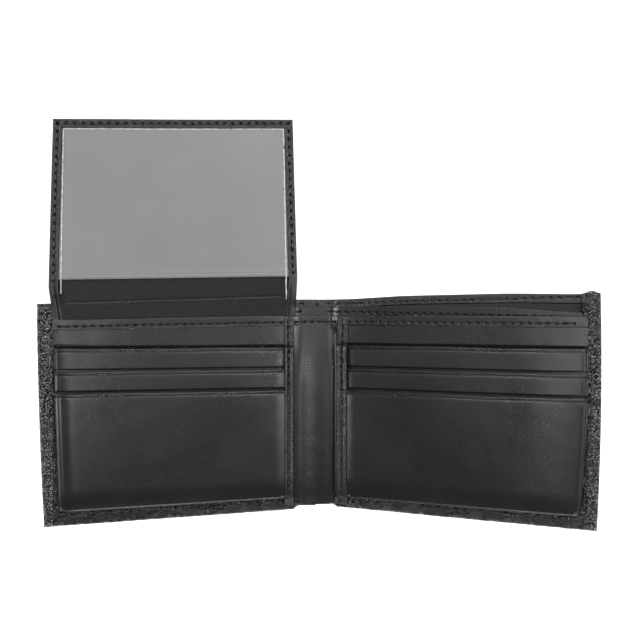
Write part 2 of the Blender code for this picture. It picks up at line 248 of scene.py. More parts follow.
def sheet(build, side, s_lines, q_lines, low, high, outer, top, bottom,
          rounds=(0.4, 0.4, 0.4, 0.4), inner=None, put=None, flip=None):
    """A closed sheet. s_lines runs from its first line to a reference end that
    is stretched to outer(y); q_lines runs over a reference height that is
    stretched between low(s) and high(s). rounds: radius of the inner, outer, low
    and high edge, 0 for an edge that butts against its other half."""
    s_ref, q = np.meshgrid(s_lines, q_lines, indexing="ij")
    height = q_lines[-1] - q_lines[0]
    part = (q - q_lines[0]) / height
    y = low(s_ref) + part * (high(s_ref) - low(s_ref))
    first, last = s_lines[0], s_lines[-1]
    for _ in range(2):
        begin = inner(y) if inner else first
        end = outer(y) if outer else last
        s = begin + (s_ref - first) * (end - begin) / (last - first)
        y = low(s) + part * (high(s) - low(s))
    f = np.ones(s.shape)
    for radius, distance in zip(rounds, (s - begin, end - s, y - low(s), high(s) - y)):
        if radius:
            f = np.minimum(f, roll(distance, radius))
    hi, lo = top(s, y), bottom(s, y)
    mid = (hi + lo) / 2
    hi2, lo2 = mid + (hi - mid) * f, mid + (lo - mid) * f
    go = put or (lambda a, b, c: place(side, a, b, c))
    flip = (SIGN[side] > 0) if flip is None else flip
    a = build.add(go(s, y, hi2), np.stack([s + 0.5 * (hi2 - hi), y + 0.5 * (hi2 - hi)], -1))
    b = build.add(go(s, y, lo2), np.stack([s + 300.0, y], -1))
    build.quads(a, flip=not flip)
    build.quads(b, flip=flip)
    for i, turn in ((0, False), (-1, True)):
        build.quads(np.stack([a[i, :], b[i, :]], -1), flip=(turn != flip))
        build.quads(np.stack([a[:, i], b[:, i]], -1), flip=(turn == flip))
    return s, y


def stitch_row(build, go, points, normals_t, pitch=3.3, gap=1.05, width=0.50, height=0.08, phase=0.5, seed=0):
    """Separate stitches along a path of (a, b) points; normals_t gives the
    surface height there. Each stitch is an arched thread that dives at its ends."""
    pts = np.array(points, float)
    seg = np.linalg.norm(np.diff(pts, axis=0), axis=1)
    total = seg.sum()
    dist = np.concatenate([[0], np.cumsum(seg)])
    n = int(total // pitch)
    off = (total - n * pitch) / 2
    ring, rows = 8, 9
    for k in range(n):
        start = off + k * pitch + gap / 2
        end = off + (k + 1) * pitch - gap / 2
        d = np.linspace(start, end, rows)
        x = np.interp(d, dist, pts[:, 0])
        y = np.interp(d, dist, pts[:, 1])
        way = np.array([x[-1] - x[0], y[-1] - y[0]])
        way /= np.linalg.norm(way)
        side_ = np.array([-way[1], way[0]])
        lean = 0.09 * math.sin(7.13 * k + seed)
        f = np.linspace(-1, 1, rows)
        arch = height * (1 - np.abs(f) ** 3) - 0.42 * np.abs(f) ** 6
        rad = width / 2 * np.sqrt(np.clip(1 - 0.55 * f ** 4, 0.05, 1))
        rad[0] *= 0.45
        rad[-1] *= 0.45
        ang = np.linspace(0, 2 * np.pi, ring, endpoint=False)
        cx = x + side_[0] * lean * f
        cy = y + side_[1] * lean * f
        aa = cx[:, None] + side_[0] * rad[:, None] * np.cos(ang)
        bb = cy[:, None] + side_[1] * rad[:, None] * np.cos(ang)
        base = normals_t(x, y)
        tt = (base + arch)[:, None] + rad[:, None] * 0.8 * np.sin(ang)
        uv = np.stack([d[:, None] + 0 * aa, (ang * 0.2)[None, :] + 0 * aa + k * 1.7], -1)
        idx = build.add(go(aa, bb, tt), uv)
        build.quads(idx, close=True)
        # close both ends with quads across the ring
        for row, flip in ((idx[0], False), (idx[-1], True)):
            q = np.array([[row[0], row[1], row[2], row[3]], [row[0], row[3], row[4], row[7]], [row[4], row[5], row[6], row[7]]])
            build.faces.append(q if flip else q[:, ::-1])


def stitch_holes(x, y, points, pitch=3.3, width=0.36, depth=0.5, groove=0.05, groove_width=0.5):
    """How far the surface is pulled down along a seam: a shallow groove and a
    hole between each two stitches."""
    pts = np.array(points, float)
    seg = np.linalg.norm(np.diff(pts, axis=0), axis=1)
    total = seg.sum()
    n = int(total // pitch)
    off = (total - n * pitch) / 2
    start = 0.0
    best = np.full(np.shape(x), 1e3)
    where = np.zeros(np.shape(x))
    for (p, q), length in zip(zip(pts[:-1], pts[1:]), seg):
        way = (q - p) / length
        u = (x - p[0]) * way[0] + (y - p[1]) * way[1]
        uc = np.clip(u, 0, length)
        dx = x - (p[0] + way[0] * uc)
        dy = y - (p[1] + way[1] * uc)
        dist = np.sqrt(dx * dx + dy * dy)
        closer = dist < best
        best = np.where(closer, dist, best)
        where = np.where(closer, start + uc, where)
        start += length
    k = (where - off) / pitch
    near = (k - np.round(k)) * pitch
    inside = (where > off - 0.4) & (where < total - off + 0.4)
    holes = 1.7 * depth * np.exp(-((near ** 2) / (width * 1.5) ** 2 + (best / width) ** 2))
    return (groove * gauss(best, groove_width) + np.where(inside, holes, 0.0))


# ---------------------------------------------------------------------------
# materials: all of them read the flat cut's own UV map, in mm
# ---------------------------------------------------------------------------
class Nodes:
    def __init__(self, name):
        self.mat = bpy.data.materials.new(name)
        self.mat.use_nodes = True
        self.tree = self.mat.node_tree
        self.tree.nodes.clear()
        self.out = self.tree.nodes.new("ShaderNodeOutputMaterial")
        self.bsdf = self.tree.nodes.new("ShaderNodeBsdfPrincipled")
        self.link(self.bsdf.outputs["BSDF"], self.out.inputs["Surface"])
        uv = self.tree.nodes.new("ShaderNodeUVMap")
        uv.uv_map = "cut"
        self.uv = uv.outputs["UV"]

    def link(self, a, b):
        self.tree.links.new(a, b)

    def put(self, socket, value):
        if hasattr(value, "is_linked") or isinstance(value, bpy.types.NodeSocket):
            self.link(value, socket)
        else:
            socket.default_value = value

    def math(self, op, a, b=0.0, c=0.0):
        n = self.tree.nodes.new("ShaderNodeMath")
        n.operation = op
        for socket, value in zip(n.inputs, (a, b, c)):
            self.put(socket, value)
        return n.outputs[0]

    def mapping(self, scale=(1, 1, 1), angle=0.0, vector=None):
        n = self.tree.nodes.new("ShaderNodeMapping")
        n.inputs["Scale"].default_value = scale
        n.inputs["Rotation"].default_value = (0, 0, angle)
        self.link(vector or self.uv, n.inputs["Vector"])
        return n.outputs["Vector"]

    def noise(self, scale, detail=2.0, rough=0.5, distortion=0.0, vector=None):
        n = self.tree.nodes.new("ShaderNodeTexNoise")
        n.inputs["Scale"].default_value = scale
        n.inputs["Detail"].default_value = detail
        n.inputs["Roughness"].default_value = rough
        n.inputs["Distortion"].default_value = distortion
        self.link(vector or self.uv, n.inputs["Vector"])
        return n.outputs["Fac"]

    def voronoi(self, scale, feature="F1", smoothness=None, randomness=1.0, vector=None):
        n = self.tree.nodes.new("ShaderNodeTexVoronoi")
        n.feature = feature
        n.inputs["Scale"].default_value = scale
        n.inputs["Randomness"].default_value = randomness
        if smoothness is not None:
            n.inputs["Smoothness"].default_value = smoothness
        self.link(vector or self.uv, n.inputs["Vector"])
        return n.outputs["Distance"]

    def span(self, value, a, b, c, d):
        n = self.tree.nodes.new("ShaderNodeMapRange")
        self.link(value, n.inputs["Value"])
        for socket, x in zip(("From Min", "From Max", "To Min", "To Max"), (a, b, c, d)):
            n.inputs[socket].default_value = x
        return n.outputs["Result"]

    def ramp(self, value, dark, light):
        n = self.tree.nodes.new("ShaderNodeValToRGB")
        n.color_ramp.elements[0].color = (*dark, 1)
        n.color_ramp.elements[1].color = (*light, 1)
        self.link(value, n.inputs["Fac"])
        return n.outputs["Color"]

    def bump(self, height, distance, normal=None, strength=1.0):
        n = self.tree.nodes.new("ShaderNodeBump")
        n.inputs["Strength"].default_value = strength
        n.inputs["Distance"].default_value = distance
        self.link(height, n.inputs["Height"])
        if normal is not None:
            self.link(normal, n.inputs["Normal"])
        return n.outputs["Normal"]

    def grey(self, value):
        return (value, value, value * 1.03)


def smooth_leather(name, base=0.0065, rough=(0.24, 0.34), grain=0.03):
    n = Nodes(name)
    broad = n.noise(0.035, 3.0, 0.55)
    fine = n.noise(1.3, 4.0, 0.6)
    pores = n.voronoi(2.3, "SMOOTH_F1", 0.6)
    n.link(n.ramp(n.math("ADD", n.math("MULTIPLY", broad, 0.6), n.math("MULTIPLY", fine, 0.4)),
                  n.grey(base * 0.35), n.grey(base * 1.7)), n.bsdf.inputs["Base Color"])
    n.link(n.span(n.math("ADD", n.math("MULTIPLY", broad, 0.5), n.math("MULTIPLY", fine, 0.5)), 0.3, 0.7, *rough),
           n.bsdf.inputs["Roughness"])
    first = n.bump(n.math("ADD", n.math("MULTIPLY", pores, 0.6), fine), grain / 1000.0)
    n.link(n.bump(n.noise(0.07, 2.0, 0.5), 0.0002, first), n.bsdf.inputs["Normal"])
    n.bsdf.inputs["Specular IOR Level"].default_value = 0.5
    return n.mat


def grained_leather(name, base=0.003, cell=0.8, depth=0.60, rough=(0.06, 0.16), wide_depth=0.5, painted_glint=0.0):
    n = Nodes(name)
    bent = n.tree.nodes.new("ShaderNodeVectorMath")
    bent.operation = "ADD"
    shift = n.tree.nodes.new("ShaderNodeVectorMath")
    shift.operation = "SCALE"
    wander = n.tree.nodes.new("ShaderNodeTexNoise")
    wander.inputs["Scale"].default_value = 0.8
    n.link(n.uv, wander.inputs["Vector"])
    n.link(wander.outputs["Color"], shift.inputs[0])
    shift.inputs["Scale"].default_value = 0.9
    n.link(n.uv, bent.inputs[0])
    n.link(shift.outputs["Vector"], bent.inputs[1])
    way = bent.outputs["Vector"]
    cells = n.voronoi(cell, "SMOOTH_F1", 0.35, vector=way)
    creases = n.voronoi(cell * 0.8, "DISTANCE_TO_EDGE", vector=n.mapping((0.72, 1.25, 1), 0.5, way))
    wide = n.noise(0.30, 3.0, 0.6, 0.8)
    fine = n.noise(3.2, 3.0, 0.6)
    cut = n.span(creases, 0.0, 0.13, 0.0, 1.0)
    height = n.math("ADD", n.math("MULTIPLY", n.math("SUBTRACT", 1.0, cells), 0.7),
                    n.math("ADD", n.math("MULTIPLY", cut, 0.45), n.math("MULTIPLY", fine, 0.14)))
    # painted highlights: pale specks added to the base colour stand in for glints of light on the shiny grain
    if painted_glint:
        painted_glint_specks = n.span(n.math("ADD", n.math("MULTIPLY", n.noise(1.9, 1.0, 0.5), 0.8), n.math("MULTIPLY", wide, 0.2)),
                        0.56, 0.64, 0.0, painted_glint)
        n.link(n.math("ADD", n.span(cut, 0.0, 1.0, base * 0.35, base * 1.2), painted_glint_specks), n.bsdf.inputs["Base Color"])
    else:
        n.link(n.ramp(cut, n.grey(base * 0.35), n.grey(base * 1.2)), n.bsdf.inputs["Base Color"])
    n.link(n.span(n.math("ADD", n.math("MULTIPLY", fine, 0.5), n.math("MULTIPLY", wide, 0.5)), 0.3, 0.7, *rough),
           n.bsdf.inputs["Roughness"])
    first = n.bump(height, depth / 1000.0)
    n.link(n.bump(wide, wide_depth / 1000.0, first), n.bsdf.inputs["Normal"])
    n.bsdf.inputs["Specular IOR Level"].default_value = 0.55
    return n.mat


def twill(name, base=0.017, pitch=0.9, angle=27.0, depth=0.16):
    n = Nodes(name)
    turned = n.mapping((1, 1, 1), math.radians(-angle))
    wave = n.tree.nodes.new("ShaderNodeTexWave")
    wave.wave_type, wave.bands_direction, wave.wave_profile = "BANDS", "Y", "SIN"
    wave.inputs["Scale"].default_value = 0.314 / pitch
    wave.inputs["Distortion"].default_value = 0.5
    wave.inputs["Detail"].default_value = 1.0
    wave.inputs["Detail Scale"].default_value = 0.5
    n.link(turned, wave.inputs["Vector"])
    yarn = n.tree.nodes.new("ShaderNodeTexWave")
    yarn.wave_type, yarn.bands_direction, yarn.wave_profile = "BANDS", "X", "SIN"
    yarn.inputs["Scale"].default_value = 0.314 / 0.45
    yarn.inputs["Distortion"].default_value = 1.0
    n.link(turned, yarn.inputs["Vector"])
    fuzz = n.noise(4.0, 3.0, 0.6)
    height = n.math("ADD", wave.outputs["Fac"], n.math("ADD", n.math("MULTIPLY", yarn.outputs["Fac"], 0.3),
                                                       n.math("MULTIPLY", fuzz, 0.25)))
    n.link(n.ramp(n.math("ADD", n.math("MULTIPLY", wave.outputs["Fac"], 0.7), n.math("MULTIPLY", fuzz, 0.3)),
                  n.grey(base * 0.45), n.grey(base * 1.5)), n.bsdf.inputs["Base Color"])
    n.bsdf.inputs["Roughness"].default_value = 0.62
    n.bsdf.inputs["Specular IOR Level"].default_value = 0.34
    n.bsdf.inputs["Sheen Weight"].default_value = 0.08
    n.bsdf.inputs["Sheen Roughness"].default_value = 0.5
    n.link(n.bump(height, depth / 1000.0), n.bsdf.inputs["Normal"])
    return n.mat


def vinyl(name, base=0.165):
    n = Nodes(name)
    haze = n.noise(0.05, 4.0, 0.6)
    speck = n.noise(1.1, 3.0, 0.6)
    n.link(n.ramp(n.math("ADD", n.math("MULTIPLY", haze, 0.7), n.math("MULTIPLY", speck, 0.3)),
                  n.grey(base * 0.90), n.grey(base * 1.10)), n.bsdf.inputs["Base Color"])
    n.link(n.span(haze, 0.3, 0.7, 0.30, 0.42), n.bsdf.inputs["Roughness"])
    n.link(n.bump(n.math("ADD", n.noise(0.03, 2.0, 0.5), n.math("MULTIPLY", speck, 0.03)), 0.0004), n.bsdf.inputs["Normal"])
    return n.mat


def thread(name, base=0.012):
    n = Nodes(name)
    ply = n.tree.nodes.new("ShaderNodeTexWave")
    ply.wave_type, ply.bands_direction = "BANDS", "DIAGONAL"
    ply.inputs["Scale"].default_value = 1.1
    ply.inputs["Distortion"].default_value = 0.6
    n.link(n.uv, ply.inputs["Vector"])
    n.link(n.ramp(ply.outputs["Fac"], n.grey(base * 0.4), n.grey(base * 1.5)), n.bsdf.inputs["Base Color"])
    n.bsdf.inputs["Roughness"].default_value = 0.42
    n.link(n.bump(ply.outputs["Fac"], 0.00009), n.bsdf.inputs["Normal"])
    return n.mat


def raw_edge(name):
    n = Nodes(name)
    broken = n.noise(0.45, 4.0, 0.7)
    n.link(n.ramp(n.span(broken, 0.30, 0.48, 0.0, 1.0), n.grey(0.05), n.grey(0.62)), n.bsdf.inputs["Base Color"])
    n.bsdf.inputs["Roughness"].default_value = 0.6
    n.link(n.bump(n.noise(2.0, 3.0, 0.6), 0.0001), n.bsdf.inputs["Normal"])
    return n.mat


M_SMOOTH = smooth_leather("smooth_leather")
M_GRAIN = grained_leather("grained_leather")
# the turned strips' leather has painted highlights: pale specks in its base colour
M_TURNED_PAINTED_GLINTS = grained_leather("turned_leather", painted_glint=0.30)
M_STRIP = grained_leather("strip_leather", depth=0.10, cell=1.1, rough=(0.26, 0.42), wide_depth=0.15)
M_FRAME = grained_leather("frame_leather", depth=0.16, cell=1.3, rough=(0.26, 0.42), wide_depth=0.12)
M_FABRIC = twill("lining_fabric", base=0.012, pitch=0.6, depth=0.08)
M_TWILL = twill("flap_twill", base=0.003)
M_VINYL = vinyl("window_vinyl")
M_THREAD = thread("thread")
M_THREAD_PALE = thread("flap_thread", base=0.06)
M_RAW = raw_edge("raw_edge")

# ---------------------------------------------------------------------------
# the two halves
# ---------------------------------------------------------------------------
def fold_blend(made):
    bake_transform(made)


def half(side):
    h = HALF[side]
    seed = 1.0 if side == "left" else 5.0
    go = lambda a, b, c: place(side, a, b, c)
    step = 1.1 if side == "left" else 0.6
    swell = 0.0 if side == "left" else 0.85
    knob = 0.0 if side == "left" else 1.2
    top = lambda s: (ramp(h["top"], s) + swell * smooth((s - 6.0) / 30.0) * smooth((104.0 - s) / 34.0)
                     + knob * np.exp(-((np.asarray(s, float) - 104.6) / 2.4) ** 2))
    bottom = lambda s: ramp(h["bottom"], s) + step * (1.0 - smooth((s - 2.6) / 1.4))
    outer = lambda y: curve3(h["outer"], y)
    panel = lambda y: curve3(h["panel"], y)
    wall = lambda s: ramp(h["wall"], s, 101.0)
    foot = lambda s: ramp(h["foot"], s, 101.0)
    div = lambda s: ramp(h["divider"], s, 102.0) + (0.0 if side == "left" else 1.35) * smooth(s / 40.0) * smooth((101.0 - s) / 30.0)
    b0, b1 = h["binding"]

    def squeeze(s, y):
        reach = 8.0 if side == "left" else 26.0
        x = np.clip((panel(y) - s) / reach, 0.0, 1.0)
        least = 0.34 if side == "left" else 0.40
        c = least + (1.0 - least) * (1.0 - (1.0 - x) ** 2.2)
        x = np.clip((y - foot(s)) / 9.0, 0.0, 1.0)
        c = c * (0.62 + 0.38 * (1.0 - (1.0 - x) ** 2.0))
        c = c * (0.74 + 0.26 * smooth((s - b0) / 8.0))
        return c

    def bead(s, y):
        d = np.minimum(panel(y) - s, y - foot(s))
        return 0.48 * gauss(d - 0.45, 0.42) - 0.20 * gauss(d - 1.30, 0.40)

    def stack(s, y, t):
        return (3.4 + (t - 3.4) * squeeze(s, y) + 0.10 * wobble2(s, y, seed, 46.0) * smooth((s - 1) / 8)
                + bead(s, y) * smooth((s - b1) / 1.0))

    # cover: exterior leather, turned over at the outer side, the bottom and the top
    def cover_top(s, y):
        out = smooth((7.4 - (outer(y) - s)) / 0.7)
        low = smooth((7.2 - (y - bottom(s))) / 0.7) * smooth((s - 1.6) / 1.2)
        hem = smooth((3.75 - (top(s) - y)) / 0.25)
        t = 1.0 + np.maximum(np.maximum(out, low) * 2.0, hem * 0.75)
        crinkle = 0.40 * lumps(s, y, seed, 1.25) + 0.30 * lumps(s + 0.4 * y, y, seed + 2, 0.85) + 0.22 * lumps(s, y, seed + 5, 2.6)
        crinkle = np.clip(crinkle, -0.5, 0.36)
        t = t + np.maximum(np.maximum(out, low), 0.08 * hem) * crinkle
        seam = stitch_holes(s, y, [(0.6, top(0.6) - 1.9), (103.0, top(103.0) - 1.9)], depth=0.35)
        return t - seam

    length = h["outer"][1][0]
    height = h["top"][0] - h["bottom"][0]
    build = Build()
    sheet(build, side,
          lines(-5.0, length, 0.38, [(length - 4.2, 4.2, 0.24), (2.2, 1.2, 0.25)], (False, True), 1.2),
          lines(0.0, height, 0.38, [(height - 1.9, 0.9, 0.16), (height - 3.7, 0.4, 0.1), (4.0, 4.0, 0.24)], (True, True), 1.0),
          bottom, top, outer, cover_top, lambda s, y: 0.0 * s, (0, 1.5, 1.3, 0.75))
    made = build.finish(side + "_cover_leather", M_GRAIN)
    made.data.materials.append(M_STRIP)
    made.data.materials.append(M_TURNED_PAINTED_GLINTS)
    co = np.zeros(len(made.data.polygons) * 3)
    made.data.polygons.foreach_get("center", co)
    co = co.reshape(-1, 3) * 1000.0
    along = np.abs(co[:, 0] - (HL[0] if side == "left" else HR[0])) / math.cos(TILT[side])
    up = co[:, 1] - CY
    plain_part = (up > top(along) - 3.9) & (along < h["panel"][2][0] + 0.6) & (co[:, 2] > HT + along * math.sin(TILT[side]) - 3.9)
    facing = np.zeros(len(made.data.polygons) * 3)
    made.data.polygons.foreach_get("normal", facing)
    # upward-facing faces of the turned strips get the leather with painted highlights in its colour
    painted_glint_faces = (along > h["panel"][2][0] + 0.6) & (facing.reshape(-1, 3)[:, 2] > 0.25) & ~plain_part
    made.data.polygons.foreach_set("material_index", np.where(painted_glint_faces, 2, plain_part.astype(np.int32)).astype(np.int32))
    fold_blend(made)
    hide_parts("cover_" + side)
    if side == "left":
        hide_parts("cover_spine")

    # lining of the banknote compartment
    build = Build()
    sheet(build, side, lines(-5.0, length - 6.0, 1.6), lines(0.0, height - 9.8, 1.6),
          lambda s: bottom(s) + 6.0, lambda s: top(s) - 3.8, lambda y: outer(y) - 6.0,
          lambda s, y: 1.45 + 0.05 * wobble2(s, y, seed, 17.0), lambda s, y: 1.15 + 0.05 * wobble2(s, y, seed, 17.0),
          (0, 0.15, 0.15, 0.15))
    made = build.finish(side + "_lining", M_FABRIC)
    fold_blend(made)
    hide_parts("cover_lining_" + side)
    if side == "left":
        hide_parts("cover_lining_spine")

    # divider of the banknote compartment, with its own hem
    def divider_top(s, y):
        d = div(s) - y
        t = 2.4 + 0.28 * smooth((3.9 - d) / 0.35) + 0.06 * wobble2(s, y, seed + 1, 30.0)
        return t - stitch_holes(s, y, [(0.6, div(0.6) - 2.1), (101.0, div(101.0) - 2.1)], depth=0.4)

    build = Build()
    dh = h["divider"][0] - 6.0
    sheet(build, side, lines(-5.0, length - 5.0, 0.36, (), (False, True), 0.4),
          lines(0.0, dh, 1.6, [(dh - 2.1, 1.0, 0.16), (dh - 3.8, 0.5, 0.12)], (False, True), 0.5),
          lambda s: 6.0 + 0 * s, div, lambda y: outer(y) - 5.0, divider_top, lambda s, y: 1.9 + 0 * s, (0, 0.2, 0, 0.35))
    made = build.finish(side + "_divider_leather", M_SMOOTH)
    fold_blend(made)
    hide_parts("divider_" + side)
    if side == "left":
        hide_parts("divider_spine")

    # front wall: the full-width sheet that the slots are sewn to
    low_wall = lambda s: foot(s) * smooth((s - 1.0) / 3.0) + 1.9 * (1.0 - smooth((s - 1.0) / 3.0))
    wall_end = panel(40.0)

    def mouth(s, y, edge):
        return 1.0 * np.exp(-((y - edge - 0.12) / 0.48) ** 2) * smooth((s - b0) / 2.0)

    def wall_top(s, y):
        d = wall(s) - y
        t = 3.4 + 0.6 * squeeze(s, y) + 0.10 * wobble2(s, y, seed, 46.0) * smooth((s - 1) / 8)
        t = t + 0.32 * smooth((4.4 - d) / 0.6)
        t = t - mouth(s, y, h["slots"][0])
        # the spine bulges softly between the two turned edges
        x = s + 5.0  # 0 in the middle of the spine
        t = t + 1.25 * (1.0 - np.clip(x / 9.5, 0, 1) ** 2) * smooth((10.5 - x) / 2.0) * smooth((wall(0) - 3.0 - y) / 30.0)
        if side == "right":
            t = t - 0.9 * np.exp(-((s - 3.3) / 1.0) ** 2) * smooth((wall(0) - 4.0 - y) / 4.0)
        return t - stitch_holes(s, y, [(-5.0 + 1e-6, wall(0) - 2.9), (100.0, wall(100.0) - 2.9)], depth=0.45)

    build = Build()
    wh = h["wall"][0] - 1.9
    sheet(build, side, lines(-5.0, wall_end, 0.36, (), (False, True), 0.5),
          lines(0.0, wh, 1.1, [(wh - 2.9, 1.0, 0.15), (wh - 4.4, 0.6, 0.15), (h["slots"][0] - 1.9, 2.0, 0.2)], (True, True), 0.5),
          low_wall, wall, panel, wall_top,
          lambda s, y: np.minimum(3.4, wall_top(s, y) - 0.35) * smooth((s - 1.5) / 2.5) + (wall_top(s, y) - 0.6) * (1 - smooth((s - 1.5) / 2.5)),
          (0, 0.5, 0.4, 0.5))
    made = build.finish(side + "_front_wall_leather", M_SMOOTH)
    fold_blend(made)
    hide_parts("front_wall_" + side)
    if side == "left":
        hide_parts("front_wall_spine")

    # card slots and the pocket in front of them
    def facing(title, node, edge, t0, t1, base, behind, low=None):
        high = lambda s: edge + 0.12 * wobble(s, seed + edge, 60.0)
        low = low or (lambda s: base + 0 * s)

        def face(s, y):
            d = high(s) - y
            t = stack(s, y, t1) + 0.34 * gauss(d - 0.72, 0.55) - 0.16 * gauss(d - 1.55, 0.35)
            if behind:
                t = t - mouth(s, y, behind)
            return t

        build = Build()
        hh = edge - base
        fine = [(hh - 1.35, 0.8, 0.12)]
        if behind:
            fine.append((behind - base, 2.0, 0.2))
        sheet(build, side, lines(b0 + 0.2, wall_end, 0.7, (), (True, True), 0.7),
              lines(0.0, hh, 1.0, fine, (True, True), 0.5), low, high, panel,
              face, lambda s, y: np.minimum(stack(s, y, t0), face(s, y) - 0.3), (0.3, 0.6, 0.5, 0.5))
        made = build.finish(side + title, M_SMOOTH)
        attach(made, side + "_half")
        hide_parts(side + node)

    e1, e2, e3 = h["slots"]
    facing("_slot_facing_1", "_card_slot_1", e1, 4.2, 4.7, e1 - 14.0, e2)
    facing("_slot_facing_2", "_card_slot_2", e2, 4.9, 5.4, e2 - 14.0, e3)
    facing("_pocket_facing", "_card_pocket", e3, 5.6, 6.2, h["foot"][0], None, foot)
    for k, (edge, t0) in enumerate(((e1, 4.3), (e2, 5.0)), 1):
        build = Build()
        base = edge - 14.0
        sheet(build, side, lines(b0 + 0.8, wall_end - 0.5, 2.0), lines(0.0, 33.7, 2.0),
              lambda s: base - 34.0 + 0 * s, lambda s: base - 0.3 + 0 * s, lambda y: panel(y) - 0.5,
              lambda s, y: stack(s, y, t0 + 0.3), lambda s, y: stack(s, y, t0), (0.1, 0.1, 0.1, 0.1))
        made = build.finish(f"{side}_slot_lining_cloth_{k}", M_FABRIC)
        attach(made, side + "_half")
        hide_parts(f"{side}_slot_lining_{k}")

    # turned edge along the spine
    bind_top = h["wall"][0] - 0.4
    mid = (b0 + b1) / 2 + (0.3 if side == "left" else 0.0)

    def bind_face(s, y):
        rough = 0.07 * lumps(s, y, seed + 2, 1.6) + 0.05 * wobble(y, seed, 3.3)
        t = stack(s, y, 7.0) + rough
        over = 4.45 + 0.25 * smooth((y - e1) / 2.0)
        t = np.where(y > e1, np.maximum(over + 0.1 * wobble(y, seed, 3.0), t - 2.2 * smooth((y - e1 + 1) / 3.0)), t)
        return t - stitch_holes(s, y, [(mid, h["foot"][0] + 1.2), (mid, bind_top - 1.0)], depth=0.6, groove=0.22)

    build = Build()
    bh = bind_top - h["foot"][0] + 3.0
    sheet(build, side, lines(b0, b1, 0.16, (), (True, True), 0.5), lines(0.0, bh, 0.3, (), (True, True), 0.4),
          lambda s: h["foot"][0] - 3.0 + 0 * s, lambda s: bind_top + 0 * s, None,
          bind_face, lambda s, y: bind_face(s, y) - 1.1, (0.85, 0.45, 0.4, 0.4))
    made = build.finish(side + "_spine_edge_strip", M_STRIP)
    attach(made, side + "_half")
    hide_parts(side + "_inner_binding")

    # stitching
    def seam(title, node, points, base, pitch=3.3, split=False):
        build = Build()
        stitch_row(build, go, points, base, pitch=pitch, seed=seed)
        made = build.finish(f"{side}_{title}_stitches", M_THREAD, 80.0)
        if split:
            fold_blend(made)
        else:
            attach(made, side + "_half")
        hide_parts(f"{side}_{node}_stitching")

    seam("front_wall", "front_wall", [(-5.0, wall(0) - 2.9), (100.0, wall(100.0) - 2.9)],
         lambda x, y: 3.4 + 0.6 * squeeze(x, y) + 0.32 + 0.1 * wobble2(x, y, seed, 46.0) * smooth((x - 1) / 8), split=True)
    seam("divider", "divider", [(0.6, div(0.6) - 2.1), (101.0, div(101.0) - 2.1)],
         lambda x, y: 2.4 + 0.28 + 0.06 * wobble2(x, y, seed + 1, 30.0), split=True)
    seam("cover_hem", "cover_hem", [(0.6, top(0.6) - 1.9), (103.0, top(103.0) - 1.9)],
         lambda x, y: 1.75 + 0 * x, split=True)
    seam("spine_edge", "inner", [(mid, h["foot"][0] + 1.2), (mid, bind_top - 1.0)],
         lambda x, y: bind_face(x + 0.9, y) * 0 + np.where(y > e1, 4.55, stack(x, y, 7.0)))
    ys = np.linspace(h["foot"][1] + 1.5, h["panel"][2][1] - 1.0, 30)
    ss = np.linspace(b1 + 1.0, float(panel(h["foot"][1])) - 1.0, 30)
    path = [(float(x), float(foot(x)) - 1.0) for x in ss] + [(float(panel(y)) + 1.0, float(y)) for y in ys]
    seam("outer", "outer", path, lambda x, y: 3.02 + 0 * x)


half("left")
half("right")


# ---------------------------------------------------------------------------
# the flap with the window, hinged behind the left front wall
# ---------------------------------------------------------------------------
ROOT_Y, BEND_Y = 81.0, 87.0


def f_in(y):
    return np.interp(y, [70.0, 82.5, 97.0, 163.8], [4.4, 3.3, 2.5, 4.5])


def f_out(y):
    return np.interp(y, [70.0, 82.5, 93.0, 159.9], [100.2, 101.3, 102.6, 100.6])


def f_top(s):
    return 163.8 + (159.9 - 163.8) * (np.asarray(s, float) - 5.3) / 95.3


def f_low(s):
    return 76.0 + 0.0 * np.asarray(s, float)


def flap_blend(made):
    start = place("left", 50.0, ROOT_Y, 3.0)
    end = place("left", 50.0, BEND_Y, 3.0)
    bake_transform(made)


def sag(s, y):
    """The flap isn't quite flat: it waves softly, more so away from its root."""
    rise = smooth((y - 84.0) / 6.0)
    soft = 0.25 * wobble2(s, y, 2.0, 70.0) * rise
    return soft


def buckle(s, y):
    """Two creases across the cloth at the root of the flap."""
    line = 89.5 - (s - 8.6) * (3.0 / 87.4)
    d = y - line
    inside = smooth((s - 5.0) / 6.0) * smooth((101.0 - s) / 6.0)
    first = (-0.55 * gauss(d, 0.7) + 0.34 * gauss(d - 1.8, 1.6) + 0.25 * gauss(d + 2.2, 1.8)) * inside
    line2 = 83.4 + (96.0 - s) * 0.075
    d2 = y - line2
    second = (-0.35 * gauss(d2, 0.6) + 0.30 * gauss(d2 + 1.3, 1.1)) * smooth((s - 66.0) / 14.0) * inside
    return first + second


def frame_top(s, y):
    edge = np.minimum(np.minimum(s - f_in(y), f_out(y) - s), f_top(s) - y)
    rim = smooth((3.95 - edge) / 0.22)
    high = 3.5 + 1.45 * smooth((y - 83.0) / 9.0)
    t = 3.4 + (high - 3.4) * rim
    # mitred corners
    for corner, way in (((4.5, 163.8), (1.0, -1.0)), ((100.6, 159.9), (-1.0, -1.0))):
        u = (s - corner[0]) * way[0]
        v = (y - corner[1]) * way[1]
        d = np.abs(u - v) / math.sqrt(2.0)
        near = (u + v < 8.2) & (u > 0.2) & (v > 0.2)
        t = t - np.where(near, 0.22 * gauss(d, 0.16), 0.0)
    seam = stitch_holes(s, y, FLAP_SEAM, depth=0.5, groove=0.18)
    below = 0.5 * gauss(s - (f_in(y) + 2.6), 0.3) + 0.5 * gauss(s - (f_out(y) - 2.6), 0.3)
    below = below * (1.0 - smooth((y - 93.0) / 4.0)) * rim
    return t + sag(s, y) + 0.05 * rim * wobble2(s, y, 3.0, 4.1) - seam - below


FLAP_SEAM = [(float(f_out(y)) - 1.9, float(y)) for y in np.linspace(94.5, 158.0, 12)]
FLAP_SEAM += [(float(f_in(y)) + 1.9, float(y)) for y in np.linspace(161.9, 98.5, 12)]


